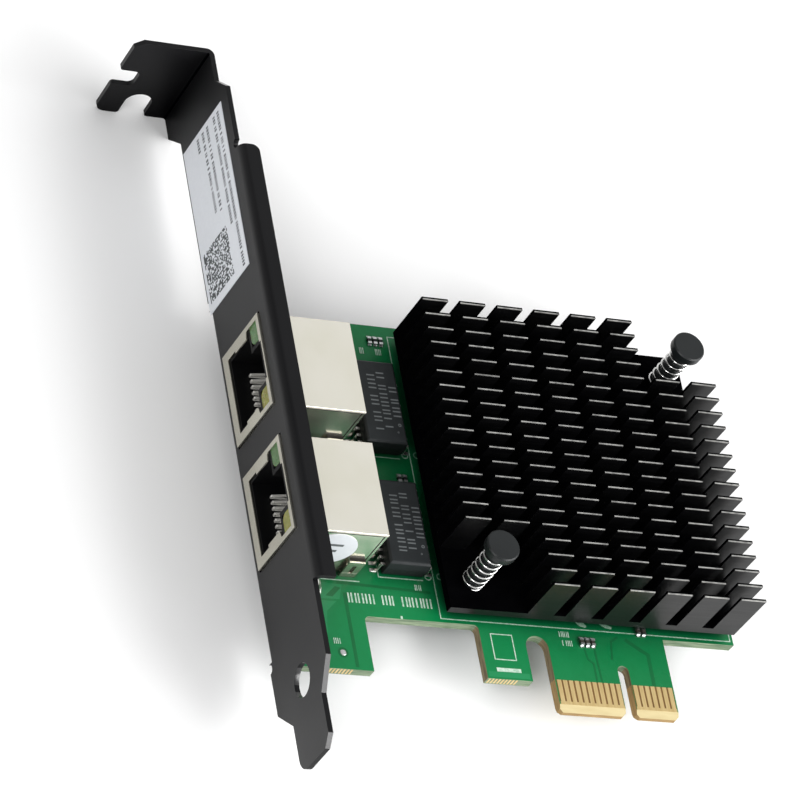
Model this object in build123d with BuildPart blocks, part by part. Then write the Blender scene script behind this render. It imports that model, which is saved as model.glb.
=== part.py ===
from build123d import *
import math
import os

# Two-port network card, in millimetres.
# Origin: middle of the key notch, at the lower edge of the contacts, on the component face.
# +X runs away from the bracket, +Y away from the edge contacts, +Z out of the component face.

# Clearances
close_fit = 0.05        # between pieces that are pushed together
hole_clearance = 0.1    # round a shaft, pin or peg in its hole
pick_reach = 0.01       # either side of the place where a corner or an edge is looked up

# Edge contacts, one lane
contact_pitch = 1.0
contacts_before_key = 11
contacts_after_key = 7
contact_width = 0.7
contact_length = 4.1
contact_thickness = 0.05
key_width = 1.9
key_height = 8.5
key_to_first_contact = 1.5
block_margin = 0.65     # from the last contact's middle to the edge of the block
bevel_height = 1.2
bevel_depth = 0.4
block_corner = 0.5
block_left_x = -(key_to_first_contact + (contacts_before_key - 1) * contact_pitch + block_margin)
block_right_x = key_to_first_contact + (contacts_after_key - 1) * contact_pitch + block_margin

# Board
board_thickness = 1.6
board_top_y = 65.3
board_right_x = 20.7
board_lower_y = 13.6
ear_bottom_y = 4.45
ear_right_x = -42.3
hook_left_x = -23.5     # the hook is the small leg beside the contact block
hook_bottom_y = 4.7
hook_slot_width = 3.8
hook_slot_top_y = 12.5
router_radius = 0.8
board_corner = 0.6
board_to_bracket = 0.96
hook_right_x = block_left_x - hook_slot_width

# Bracket, one folded steel sheet
bracket_to_key = 57.15  # outer face to the middle of the key
bracket_sheet = 0.8
bracket_fold = 0.5      # inner radius of the side folds
fold_seam = 0.05        # a fold's section starts this far inside the flat sheet
bracket_low_z = -3.94
bracket_width = 18.41
bracket_length = 120.02
tongue_tip_y = -13.5
flange_depth = 3.2
flange_low_y = 11.1
flange_high_y = 86.0
flange_corner = 1.2
rear_flange_low_y = 6.4
rear_flange_high_y = 67.3
rear_flange_depth = 3.2
relief_radius = 0.75
shoulder_low_y = -2.0
shoulder_low_run = 3.7
shoulder_high_y = -1.0
shoulder_high_run = 4.5
tongue_low_z = 0.15
tongue_high_z = 9.95
tongue_round = 2.3      # its rear corner
tongue_cut = 1.7        # its front corner
bracket_hole_radius = 2.55
bracket_hole_y = -0.85
bracket_hole_z = 5.0
bracket_outer_x = -bracket_to_key
bracket_inner_x = bracket_outer_x + bracket_sheet
bracket_high_z = bracket_low_z + bracket_width
bracket_top_y = tongue_tip_y + bracket_length
board_left_x = bracket_inner_x + board_to_bracket

# Screw tab, bent outwards at the top of the bracket
tab_reach = 12.05       # from the outer face
tab_low_z = -7.7
tab_width = 17.8
tab_bend = 0.4          # inner radius
tab_cut = 1.3           # cut-off corner
neck_to_top = 4.82      # from the tab's top face down to the rear shoulder
neck_slope = 3.4
step_to_top = 6.0       # from the tab's top face down to the front step
step_run = 3.1
fork_low_z = -0.6
fork_width = 3.6
fork_depth = 3.55
fork_round = 1.0
notch_width = 4.4
notch_to_face = 3.7     # from the outer face to the near side of the screw notch
notch_depth = 5.3
prong_corner = 1.5
mouth_corner = 0.5      # at the mouths of the fork and the notch
tab_high_z = tab_low_z + tab_width

# Threaded ears on the bracket's rear flange, and their screws
ear_below_jacks = 2.75  # screw's axis below the lower jack's wall
ear_above_jacks = 4.6   # and above the upper jack's wall
ear_to_inner_face = 4.7 # inner face to the screw's axis
ear_radius = 3.2
screw_radius = 1.45
screw_head_radius = 2.6
screw_head_height = 1.6
screw_head_edge = 0.6
screw_recess_width = 0.6
screw_recess_length = 2.4
screw_recess_depth = 0.8
screw_reach = 0.3       # below the ear
ear_x = bracket_inner_x + ear_to_inner_face

# Jacks
jack_count = 2
jack_pitch = 21.05
first_jack_y = 49.75
jack_width = 15.7
jack_length = 15.4
jack_top_z = 11.1
jack_proud = 0.35       # beyond the bracket's outer face
shell = 0.25            # shield's sheet
collar_drop = 1.75      # the front collar hangs in front of the board
window_gap = 0.22       # between the jack and the bracket's window
opening_half = 6.4
opening_tooth = 0.45
tooth_low_z = 2.6
tooth_high_z = 6.6
lamp_bay_half = 7.1
lamp_bay_low_z = 6.9
lamp_bay_high_z = 10.3
latch_half = 3.2
opening_low_z = -0.1
plug_half = 5.95
plug_low_z = 0.3
plug_high_z = 7.0
plug_depth = 11.9
latch_high_z = 9.9
lamp_width = 3.3
lamp_height = 2.9
lamp_depth = 6.0
lamp_corner = 1.2
peg_radius = 1.55
peg_to_front = 7.0
peg_half_pitch = 6.0
peg_reach = 0.9         # below the board
leg_width = 1.2
leg_to_front = 10.5
side_tab_width = 2.6
side_tab_height = 4.1
side_tab_standoff = 0.55
side_tab_to_rear = 0.7
side_tab_slot_width = 0.6
side_tab_slot_height = 2.0
jack_front_x = bracket_outer_x - jack_proud
jack_rear_x = jack_front_x + jack_length
jack_centres = [first_jack_y - jack_pitch * step for step in range(jack_count)]

# Wires in each jack
wire_count = 8
wire_pitch = 1.02
wire_thickness = 0.3
wire_width = 0.4
wire_floor_z = 0.5      # middle of the run along the socket's floor
wire_front_bend = 0.5   # height of the turn at the front
wire_free_z = 2.3
wire_bay_half = 4.4
wire_front = 2.9        # from the jack's front to the bend
wire_spring = 6.2
wire_tail_near = 10.6
wire_tail_far = 13.1
tail_reach = 1.0        # below the board
tail_hole = 0.3         # clearance round a square tail

# Magnetics modules
module_x = -34.9
module_width = 7.1
module_length = 14.7
module_standoff = 0.3
module_height = 3.4
module_taper = 5
module_edge = 0.3
module_drop = 0.55      # module's middle below the jack's middle
leads_each_side = 12
lead_pitch = 1.2
lead_width = 0.42
lead_thickness = 0.2
lead_shoulder = 0.55
lead_foot = 0.8

# Heat sink
sink_x = -4.7
sink_y = 38.87
sink_low_z = 1.7
sink_base = 1.4
sink_height = 10.3
fin_columns = 8
fin_rows = 20
fin_length = 4.43
fin_thickness = 0.45
fin_column_pitch = 6.41
fin_row_pitch = 2.55
clear_columns = 2       # fins left out at two corners, for the pins
clear_rows = 4
sink_length = (fin_columns - 1) * fin_column_pitch + fin_length
sink_width = (fin_rows - 1) * fin_row_pitch + fin_thickness
sink_base_top_z = sink_low_z + sink_base
sink_top_z = sink_low_z + sink_height

# Sprung push pins
pin_dx = 20.2
pin_dy = 19.6
pin_radius = 1.45
pin_top_z = 13.85
pin_cap_radius = 2.65
pin_cap_height = 1.4
pin_cap_edge = 0.2
pin_barb_radius = 1.95
pin_tip_radius = 0.8
pin_reach = 2.3         # below the board
pin_split = 0.7
pin_split_height = 6.0
spring_radius = 1.8     # middle of the wire, where two straight runs meet
spring_wire = 0.17      # radius
spring_turns = 6
spring_runs = 8         # straight runs in a turn
spring_start = 250      # degrees round the pin
pin_places = [(sink_x - pin_dx, sink_y - pin_dy), (sink_x + pin_dx, sink_y + pin_dy)]

# Chips under the heat sink
chip_height = 0.9
controller_side = 7.0
controller_x = -17.0
controller_dy = 10.0    # from the heat sink's middle
switch_side = 9.0
switch_x = 3.5
switch_dy = 5.0
pad_margin = 0.5
crystal_length = 3.2
crystal_width = 2.5
crystal_height = 0.8
crystal_gap = 2.4       # beside its chip
coil_length = 2.5
coil_width = 2.0
coil_height = 1.1
coil_gap = 2.2          # below its chip
controller_places = [(controller_x, sink_y + controller_dy), (controller_x, sink_y - controller_dy)]
switch_place = (switch_x, sink_y - switch_dy)

# Rows of small chip parts, each from its first part's place
small_length = 1.1
small_width = 0.55
small_height = 0.45
small_pitch = 0.95
capacitor_x = 3.95
capacitor_y = 14.6
filter_x = -6.3
filter_y = 12.0
resistor_x = -32.9
resistor_y = 62.4
divider_x = -32.2
divider_y = 37.9

# Labels
label_thickness = 0.1
label_to_window = 8.58
label_to_top = 10.52
label_low_z = -3.5
label_width = 14.5
sticker_radius = 4.1
sticker_thickness = 0.08
sticker_to_front = 8.0
sticker_z = 6.2
window_edge_y = first_jack_y + jack_width / 2 + window_gap
label_low_y = window_edge_y + label_to_window
label_length = bracket_top_y - label_to_top - label_low_y


def save(part, name):
    """Labels a finished piece and writes its file."""
    part.label = name
    export_step(part, f"parts/{name}.step")


def face_plane(x):
    """Plane across the card's length: its first axis is +Y, its second is +Z."""
    return Plane.YZ.offset(x)


def side_plane(y):
    """Plane across the card's height: its first axis is +X, its second is +Z."""
    return Plane(origin=(0, y, 0), x_dir=(1, 0, 0), z_dir=(0, -1, 0))


os.makedirs("parts", exist_ok=True)

# Places of the holes that several pieces share
screw_places = [
    (ear_x, jack_centres[-1] - jack_width / 2 - ear_below_jacks),
    (ear_x, jack_centres[0] + jack_width / 2 + ear_above_jacks),
]
peg_places = [
    (jack_front_x + peg_to_front, middle + side * peg_half_pitch)
    for middle in jack_centres
    for side in (-1, 1)
]
leg_x = jack_front_x + leg_to_front
leg_places = [
    (leg_x, middle + side * (jack_width - shell) / 2)
    for middle in jack_centres
    for side in (-1, 1)
]
wire_tails = []
for step in range(wire_count):
    tail_depth = wire_tail_far if step % 2 else wire_tail_near
    wire_tails.append((jack_front_x + tail_depth, (step - (wire_count - 1) / 2) * wire_pitch))
tail_places = [(x, middle + dy) for middle in jack_centres for x, dy in wire_tails]

# Board
with BuildPart() as pcb:
    with BuildSketch(Plane.XY.offset(-board_thickness)) as board_outline:
        with BuildLine():
            slot_radius = hook_slot_width / 2
            slot_middle_x = (hook_right_x + block_left_x) / 2
            slot_straight_y = hook_slot_top_y - slot_radius
            Polyline(
                (hook_right_x, slot_straight_y),
                (hook_right_x, hook_bottom_y),
                (hook_left_x, hook_bottom_y),
                (hook_left_x, board_lower_y),
                (ear_right_x, board_lower_y),
                (ear_right_x, ear_bottom_y),
                (board_left_x, ear_bottom_y),
                (board_left_x, board_top_y),
                (board_right_x, board_top_y),
                (board_right_x, board_lower_y),
                (block_right_x, board_lower_y),
                (block_right_x, 0),
                (block_left_x, 0),
                (block_left_x, slot_straight_y),
            )
            ThreePointArc(
                (block_left_x, slot_straight_y),
                (slot_middle_x, hook_slot_top_y),
                (hook_right_x, slot_straight_y),
            )
        make_face()
        with BuildLine(mode=Mode.PRIVATE) as key_outline:
            key_radius = key_width / 2
            Polyline(
                (-key_radius, key_height - key_radius),
                (-key_radius, -key_width),
                (key_radius, -key_width),
                (key_radius, key_height - key_radius),
            )
            ThreePointArc(
                (key_radius, key_height - key_radius),
                (0, key_height),
                (-key_radius, key_height - key_radius),
            )
        make_face(key_outline.edges(), mode=Mode.SUBTRACT)
        outline_corners = board_outline.vertices()
        block_corners = outline_corners.filter_by_position(Axis.Y, -pick_reach, pick_reach)
        gap_corners = [
            corner
            for corner in outline_corners
            if abs(corner.Y - board_lower_y) < pick_reach and corner.X < hook_right_x
        ]
        outer_corners = outline_corners.group_by(Axis.Y)[-1]
        chamfer(block_corners, block_corner)
        fillet(gap_corners, router_radius)
        fillet(outer_corners, board_corner)
        with Locations(*screw_places):
            Circle(screw_radius + hole_clearance, mode=Mode.SUBTRACT)
        with Locations(*pin_places):
            Circle(pin_radius + hole_clearance, mode=Mode.SUBTRACT)
        with Locations(*peg_places):
            Circle(peg_radius + hole_clearance, mode=Mode.SUBTRACT)
        with Locations(*leg_places):
            Rectangle(leg_width + tail_hole, shell + tail_hole, mode=Mode.SUBTRACT)
        with Locations(*tail_places):
            Rectangle(wire_thickness + tail_hole, wire_width + tail_hole, mode=Mode.SUBTRACT)
    extrude(amount=board_thickness)
    # Bevel along the lower edge, on both faces
    for face_z, inward in ((0, -1), (-board_thickness, 1)):
        with BuildSketch(face_plane(block_left_x)):
            with BuildLine():
                Polyline(
                    (0, face_z),
                    (bevel_height, face_z),
                    (0, face_z + inward * bevel_depth),
                    close=True,
                )
            make_face()
        extrude(amount=block_right_x - block_left_x, mode=Mode.SUBTRACT)
save(pcb.part, "pcb")

# Edge contacts on both faces
contact_xs = [-key_to_first_contact - step * contact_pitch for step in range(contacts_before_key)]
contact_xs += [key_to_first_contact + step * contact_pitch for step in range(contacts_after_key)]
with BuildPart() as edge_contacts:
    for low_z in (0, -board_thickness - contact_thickness):
        with BuildSketch(Plane.XY.offset(low_z)):
            with Locations(*[(x, bevel_height + contact_length / 2) for x in contact_xs]):
                Rectangle(contact_width, contact_length)
        extrude(amount=contact_thickness)
save(edge_contacts.part, "edge_contacts")

# Bracket
fold_line = bracket_fold + bracket_sheet        # from a fold's outer face to its tangent
plate_high_z = bracket_high_z - fold_line
plate_low_z = bracket_low_z + fold_line
bend_start_y = bracket_top_y - bracket_sheet - tab_bend
neck_low_y = bracket_top_y - neck_to_top
step_high_y = bracket_top_y - step_to_top
with BuildPart() as bracket:
    # Flat sheet between the folds
    with BuildSketch(face_plane(bracket_outer_x)) as sheet_outline:
        with BuildLine():
            Polyline(
                (bend_start_y, tab_low_z),
                (neck_low_y, tab_low_z),
                (neck_low_y - neck_slope, bracket_low_z),
                (rear_flange_high_y, bracket_low_z),
                (rear_flange_high_y, plate_low_z),
                (rear_flange_low_y, plate_low_z),
                (rear_flange_low_y, bracket_low_z),
                (shoulder_low_y, bracket_low_z),
                (shoulder_low_y - shoulder_low_run, tongue_low_z),
                (tongue_tip_y, tongue_low_z),
                (tongue_tip_y, tongue_high_z),
                (shoulder_high_y - shoulder_high_run, tongue_high_z),
                (shoulder_high_y, plate_high_z),
                (step_high_y - step_run, plate_high_z),
                (step_high_y, tab_high_z),
                (bend_start_y, tab_high_z),
                close=True,
            )
        make_face()
        fillet(sheet_outline.vertices().group_by(Axis.X)[0].sort_by(Axis.Y)[0], tongue_round)
        chamfer(sheet_outline.vertices().group_by(Axis.X)[0].sort_by(Axis.Y)[-1], tongue_cut)
        # Relief notches at the ends of the flanges
        for notch_y, notch_z in (
            (rear_flange_low_y - relief_radius, bracket_low_z),
            (rear_flange_high_y + relief_radius, bracket_low_z),
            (flange_high_y + relief_radius, plate_high_z),
        ):
            with Locations((notch_y, notch_z)):
                Circle(relief_radius, mode=Mode.SUBTRACT)
        # Windows for the jacks
        window_low_z = -collar_drop - window_gap
        window_high_z = jack_top_z + window_gap
        with Locations(*[(middle, (window_low_z + window_high_z) / 2) for middle in jack_centres]):
            Rectangle(jack_width + 2 * window_gap, window_high_z - window_low_z, mode=Mode.SUBTRACT)
        with Locations((bracket_hole_y, bracket_hole_z)):
            Circle(bracket_hole_radius, mode=Mode.SUBTRACT)
    extrude(amount=bracket_sheet)
    # Side folds: each is an angle section that starts where the flat sheet ends
    middle_x = bracket_outer_x + bracket_sheet / 2
    middle_fold = bracket_fold + bracket_sheet / 2
    for start_y, end_y, depth, direction in (
        (flange_low_y, flange_high_y, flange_depth, 1),
        (rear_flange_low_y, rear_flange_high_y, rear_flange_depth, -1),
    ):
        outer_z = bracket_high_z if direction > 0 else bracket_low_z
        middle_z = outer_z - direction * bracket_sheet / 2
        with BuildSketch(side_plane(end_y)):
            with BuildLine():
                FilletPolyline(
                    (middle_x, outer_z - direction * (fold_line + fold_seam)),
                    (middle_x, middle_z),
                    (bracket_outer_x + depth, middle_z),
                    radius=middle_fold,
                )
            trace(line_width=bracket_sheet)
        extrude(amount=end_y - start_y)
    # Rounded free corner of the flange
    flange_rim_x = bracket_outer_x + flange_depth
    flange_rim = bracket.edges().filter_by(Axis.Z).filter_by_position(
        Axis.X, flange_rim_x - pick_reach, flange_rim_x + pick_reach
    )
    fillet(flange_rim.group_by(Axis.Z)[-1].sort_by(Axis.Y)[-1], flange_corner)
    # Bend and screw tab
    tab_middle_y = bracket_top_y - bracket_sheet / 2
    with BuildSketch(Plane.XY.offset(tab_low_z)):
        with BuildLine():
            FilletPolyline(
                (middle_x, bend_start_y - fold_seam),
                (middle_x, tab_middle_y),
                (bracket_outer_x - tab_reach, tab_middle_y),
                radius=tab_bend + bracket_sheet / 2,
            )
        trace(line_width=bracket_sheet)
    extrude(amount=tab_width)
    # Openings and corners of the tab
    tab_end_x = bracket_outer_x - tab_reach
    notch_radius = notch_width / 2
    notch_x = bracket_outer_x - notch_to_face - notch_radius
    with BuildSketch(side_plane(bracket_top_y)):
        with BuildSketch(mode=Mode.PRIVATE) as fork:
            with Locations((tab_end_x + fork_depth / 2, fork_low_z + fork_width / 2)):
                Rectangle(fork_depth, fork_width)
            fillet(fork.vertices().group_by(Axis.X)[-1], fork_round)
        add(fork.sketch)
        with BuildLine():
            Polyline(
                (tab_end_x, tab_high_z - tab_cut),
                (tab_end_x + tab_cut, tab_high_z),
                (tab_end_x, tab_high_z),
                close=True,
            )
        make_face()
        with Locations((notch_x, tab_low_z + notch_depth - notch_radius)):
            Circle(notch_radius)
        with Locations((notch_x, tab_low_z + (notch_depth - notch_radius) / 2)):
            Rectangle(notch_width, notch_depth - notch_radius)
    extrude(amount=bracket_sheet, mode=Mode.SUBTRACT)
    tab_edges = bracket.edges().filter_by(Axis.Y).filter_by(lambda edge: edge.length < 2 * bracket_sheet)
    end_edges = tab_edges.group_by(Axis.X)[0].sort_by(Axis.Z)
    fillet(end_edges[0], prong_corner)
    fillet(end_edges[1:3], mouth_corner)
    tab_edges = bracket.edges().filter_by(Axis.Y).filter_by(lambda edge: edge.length < 2 * bracket_sheet)
    notch_mouth = [
        edge
        for edge in tab_edges.group_by(Axis.Z)[0]
        if abs(abs(edge.center().X - notch_x) - notch_radius) < pick_reach
    ]
    fillet(notch_mouth, mouth_corner)
    # Threaded ears under the board
    for x, y in screw_places:
        with BuildSketch(Plane.XY.offset(bracket_low_z)):
            with Locations((x, y)):
                Circle(ear_radius)
            with Locations(((bracket_inner_x + bracket_fold + x) / 2, y)):
                Rectangle(x - bracket_inner_x - bracket_fold, 2 * ear_radius)
        extrude(amount=bracket_sheet)
        with BuildSketch(Plane.XY.offset(bracket_low_z)):
            with Locations((x, y)):
                Circle(ear_radius - bracket_fold)
        extrude(amount=-board_thickness - bracket_low_z)
        with BuildSketch(Plane.XY.offset(bracket_low_z)):
            with Locations((x, y)):
                Circle(screw_radius + close_fit)
        extrude(amount=-board_thickness - bracket_low_z, mode=Mode.SUBTRACT)
save(bracket.part, "bracket")

# Screws through the board into the bracket's ears
with BuildPart() as bracket_screws:
    screw_tip_z = bracket_low_z - screw_reach
    with BuildSketch(Plane.XY.offset(screw_tip_z)):
        with Locations(*screw_places):
            Circle(screw_radius)
    extrude(amount=-screw_tip_z)
    with BuildSketch(Plane.XY):
        with Locations(*screw_places):
            Circle(screw_head_radius)
    extrude(amount=screw_head_height)
    chamfer(bracket_screws.edges().group_by(Axis.Z)[-1], screw_head_edge)
    with BuildSketch(Plane.XY.offset(screw_head_height)):
        with Locations(*screw_places):
            Rectangle(screw_recess_length, screw_recess_width)
            Rectangle(screw_recess_width, screw_recess_length)
    extrude(amount=-screw_recess_depth, mode=Mode.SUBTRACT)
save(bracket_screws.part, "bracket_screws")

# Label on the bracket's outer face
with BuildPart() as bracket_label:
    with BuildSketch(face_plane(bracket_outer_x)):
        with Locations((label_low_y + label_length / 2, label_low_z + label_width / 2)):
            Rectangle(label_length, label_width)
    extrude(amount=-label_thickness)
save(bracket_label.part, "bracket_label")

# Jacks
inner_width = jack_width - 2 * (shell + close_fit)      # of what stands inside the shield
inner_top_z = jack_top_z - shell - close_fit
inner_front_x = jack_front_x + shell + close_fit
inner_rear_x = jack_rear_x - shell - close_fit
collar_rear_x = board_left_x - close_fit
side_tab_x = jack_rear_x - side_tab_to_rear - side_tab_width / 2


def rectangle(plane, low, high):
    """Rectangle on a plane, from its low to its high corner."""
    with BuildSketch(plane) as outline:
        with Locations(((low[0] + high[0]) / 2, (low[1] + high[1]) / 2)):
            Rectangle(high[0] - low[0], high[1] - low[1])
    return outline.sketch


def jack_shield(middle):
    """Folded steel shield round one jack, open underneath, with its front collar and earth tab."""
    half = jack_width / 2
    front = face_plane(jack_front_x)
    behind_front = face_plane(jack_front_x + shell)
    collar_depth = collar_rear_x - jack_front_x
    with BuildPart() as shield:
        body_face = rectangle(front, (middle - half, 0), (middle + half, jack_top_z))
        collar_face = rectangle(front, (middle - half, -collar_drop), (middle + half, 0))
        extrude(body_face, amount=jack_length)
        extrude(collar_face, amount=collar_depth)
        # Hollow: the body is open below, the collar behind
        inner_low = middle - half + shell
        inner_high = middle + half - shell
        body_hollow = rectangle(behind_front, (inner_low, 0), (inner_high, jack_top_z - shell))
        collar_hollow = rectangle(behind_front, (inner_low, shell - collar_drop), (inner_high, 0))
        extrude(body_hollow, amount=jack_length - 2 * shell, mode=Mode.SUBTRACT)
        extrude(collar_hollow, amount=collar_depth - shell, mode=Mode.SUBTRACT)
        # Opening of the front face, with teeth at its sides and lamp bays in two corners
        with BuildSketch(face_plane(jack_front_x)):
            tooth_half = opening_half - opening_tooth
            with BuildLine():
                right_side = [
                    (opening_half, opening_low_z),
                    (opening_half, tooth_low_z),
                    (tooth_half, tooth_low_z),
                    (tooth_half, tooth_high_z),
                    (lamp_bay_half, lamp_bay_low_z),
                    (lamp_bay_half, lamp_bay_high_z),
                    (latch_half, lamp_bay_high_z),
                    (latch_half, inner_top_z),
                ]
                left_side = [(-y, z) for y, z in reversed(right_side)]
                Polyline(*[(middle + y, z) for y, z in right_side + left_side], close=True)
            make_face()
        extrude(amount=shell, mode=Mode.SUBTRACT)
        # Legs through the board
        leg_reach = board_thickness + tail_reach
        for side in (-1, 1):
            with BuildSketch(Plane.XY.offset(-leg_reach)):
                with Locations((leg_x, middle + side * (jack_width - shell) / 2)):
                    Rectangle(leg_width, shell)
            extrude(amount=leg_reach)
        # Earth tab bent out of the side wall, joined at its top
        outer_y = middle - half - side_tab_standoff
        with BuildSketch(side_plane(outer_y)):
            with Locations((side_tab_x, side_tab_height / 2)):
                Rectangle(side_tab_width, side_tab_height)
                Rectangle(side_tab_slot_width, side_tab_slot_height, mode=Mode.SUBTRACT)
        extrude(amount=shell)
        with BuildSketch(side_plane(middle - half)):
            with Locations((side_tab_x, side_tab_height - shell / 2)):
                Rectangle(side_tab_width, shell)
        extrude(amount=side_tab_standoff)
    return shield.part


def jack_housing(middle):
    """Black moulding inside the shield: plug socket, latch channel, lamp pockets and two pegs."""
    half = inner_width / 2
    front = face_plane(inner_front_x)
    with BuildPart() as housing:
        body_face = rectangle(front, (middle - half, close_fit), (middle + half, inner_top_z))
        collar_low_z = shell + close_fit - collar_drop
        collar_face = rectangle(front, (middle - half, collar_low_z), (middle + half, close_fit))
        extrude(body_face, amount=inner_rear_x - inner_front_x)
        extrude(collar_face, amount=collar_rear_x - inner_front_x)
        # Plug socket with its latch channel
        socket = rectangle(front, (middle - plug_half, plug_low_z), (middle + plug_half, plug_high_z))
        channel = rectangle(front, (middle - latch_half, plug_high_z), (middle + latch_half, latch_high_z))
        extrude(socket, amount=plug_depth, mode=Mode.SUBTRACT)
        extrude(channel, amount=plug_depth, mode=Mode.SUBTRACT)
        # Lamp pockets in the two upper front corners
        for side in (-1, 1):
            with BuildSketch(face_plane(inner_front_x)):
                with Locations((middle + side * lamp_middle, lamp_middle_z)):
                    Rectangle(lamp_width + 2 * close_fit, lamp_height + 2 * close_fit)
            extrude(amount=lamp_depth + close_fit, mode=Mode.SUBTRACT)
        # Bay for the wires' tails, open to the board
        bay_front_x = jack_front_x + wire_tail_near - wire_thickness
        bay_rear_x = inner_rear_x - shell
        bay_plane = side_plane(middle + wire_bay_half)
        tail_bay = rectangle(bay_plane, (bay_front_x, 0), (bay_rear_x, 2 * wire_floor_z))
        extrude(tail_bay, amount=2 * wire_bay_half, mode=Mode.SUBTRACT)
        # Pegs that stand in the board
        with BuildSketch(Plane.XY.offset(-board_thickness - peg_reach)):
            with Locations((jack_front_x + peg_to_front, middle)):
                with GridLocations(0, 2 * peg_half_pitch, 1, 2):
                    Circle(peg_radius)
        extrude(amount=board_thickness + peg_reach + close_fit)
    return housing.part


def jack_wires(middle):
    """Eight bent wires: a spring in the socket, a run along the board and a tail through it."""
    with BuildPart() as wires:
        bend_x = jack_front_x + wire_front
        for tail_x, dy in wire_tails:
            with BuildSketch(side_plane(middle + dy + wire_width / 2)):
                with BuildLine():
                    Polyline(
                        (bend_x + wire_spring, wire_free_z),
                        (bend_x, wire_floor_z + wire_front_bend),
                        (bend_x, wire_floor_z),
                        (tail_x, wire_floor_z),
                        (tail_x, -board_thickness - tail_reach),
                    )
                trace(line_width=wire_thickness)
            extrude(amount=wire_width)
    return wires.part


def jack_lamp(middle, side):
    """Clear lamp in an upper front corner of a jack, rounded towards the socket."""
    with BuildPart() as lamp:
        with BuildSketch(face_plane(inner_front_x)) as outline:
            with Locations((middle + side * lamp_middle, lamp_middle_z)):
                Rectangle(lamp_width, lamp_height)
            lower_corners = outline.vertices().group_by(Axis.Y)[0].sort_by(Axis.X)
            fillet(lower_corners[0 if side > 0 else -1], lamp_corner)
        extrude(amount=lamp_depth)
    return lamp.part


lamp_middle = inner_width / 2 - shell - close_fit - lamp_width / 2
lamp_middle_z = inner_top_z - shell - close_fit - lamp_height / 2
for number, middle in enumerate(jack_centres, start=1):
    save(jack_shield(middle), f"jack_{number}_shield")
    save(jack_housing(middle), f"jack_{number}_housing")
    save(jack_wires(middle), f"jack_{number}_contacts")
    save(jack_lamp(middle, 1), f"jack_{number}_green_lamp")
    save(jack_lamp(middle, -1), f"jack_{number}_yellow_lamp")

# Round sticker on the side wall of the last jack
with BuildPart() as inspection_sticker:
    with BuildSketch(side_plane(jack_centres[-1] - jack_width / 2)):
        with Locations((jack_front_x + sticker_to_front, sticker_z)):
            Circle(sticker_radius)
    extrude(amount=sticker_thickness)
save(inspection_sticker.part, "inspection_sticker")


# Magnetics modules
def module_body(middle):
    """Moulded body that tapers up and down from the plane of its leads."""
    with BuildPart() as body:
        half_height = module_height / 2
        for amount in (half_height, -half_height):
            with BuildSketch(Plane.XY.offset(module_standoff + half_height)):
                with Locations((module_x, middle)):
                    Rectangle(module_width, module_length)
            extrude(amount=amount, taper=module_taper)
        chamfer(body.faces().sort_by(Axis.Z)[-1].edges(), module_edge)
    return body.part


def module_leads(middle):
    """Gull-wing leads along both long sides of a module."""
    with BuildPart() as leads:
        lead_z = module_standoff + module_height / 2
        foot_z = lead_thickness / 2
        for side in (-1, 1):
            body_x = module_x + side * module_width / 2
            bend_x = body_x + side * lead_shoulder
            for step in range(leads_each_side):
                lead_y = middle + (step - (leads_each_side - 1) / 2) * lead_pitch
                with BuildSketch(side_plane(lead_y + lead_width / 2)):
                    with BuildLine():
                        Polyline(
                            (body_x, lead_z),
                            (bend_x, lead_z),
                            (bend_x, foot_z),
                            (bend_x + side * lead_foot, foot_z),
                        )
                    trace(line_width=lead_thickness)
                extrude(amount=lead_width)
    return leads.part


for number, middle in enumerate(jack_centres, start=1):
    save(module_body(middle - module_drop), f"magnetics_{number}")
    save(module_leads(middle - module_drop), f"magnetics_{number}_leads")

# Chips, crystals and coils under the heat sink
for number, place in enumerate(controller_places, start=1):
    with BuildPart() as controller:
        with BuildSketch(Plane.XY):
            with Locations(place):
                Rectangle(controller_side, controller_side)
        extrude(amount=chip_height)
    save(controller.part, f"controller_chip_{number}")

with BuildPart() as switch_chip:
    with BuildSketch(Plane.XY):
        with Locations(switch_place):
            Rectangle(switch_side, switch_side)
    extrude(amount=chip_height)
save(switch_chip.part, "switch_chip")

with BuildPart() as thermal_pads:
    with BuildSketch(Plane.XY.offset(chip_height)):
        with Locations(*controller_places):
            Rectangle(controller_side - pad_margin, controller_side - pad_margin)
        with Locations(switch_place):
            Rectangle(switch_side - pad_margin, switch_side - pad_margin)
    extrude(amount=sink_low_z - chip_height)
save(thermal_pads.part, "thermal_pads")


def box_group(places, length, width, height):
    """Like boxes that stand on the board's component face."""
    with BuildPart() as group:
        with BuildSketch(Plane.XY):
            with Locations(*places):
                Rectangle(length, width)
        extrude(amount=height)
    return group.part


def row(x, y, count):
    """Places of a row of small parts along the board."""
    return [(x + step * small_pitch, y) for step in range(count)]


chips = [(place, controller_side) for place in controller_places] + [(switch_place, switch_side)]
crystal_places = [(x + side / 2 + crystal_gap + crystal_length / 2, y) for (x, y), side in chips]
coil_places = [(x, y - side / 2 - coil_gap - coil_width / 2) for (x, y), side in chips]
capacitor_places = row(capacitor_x, capacitor_y, 2) + row(filter_x, filter_y, 3)
resistor_places = row(resistor_x, resistor_y, 3) + row(divider_x, divider_y, 2)
save(box_group(crystal_places, crystal_length, crystal_width, crystal_height), "crystals")
save(box_group(coil_places, coil_length, coil_width, coil_height), "power_coils")
save(box_group(capacitor_places, small_width, small_length, small_height), "chip_capacitors")
save(box_group(resistor_places, small_width, small_length, small_height), "chip_resistors")

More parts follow.
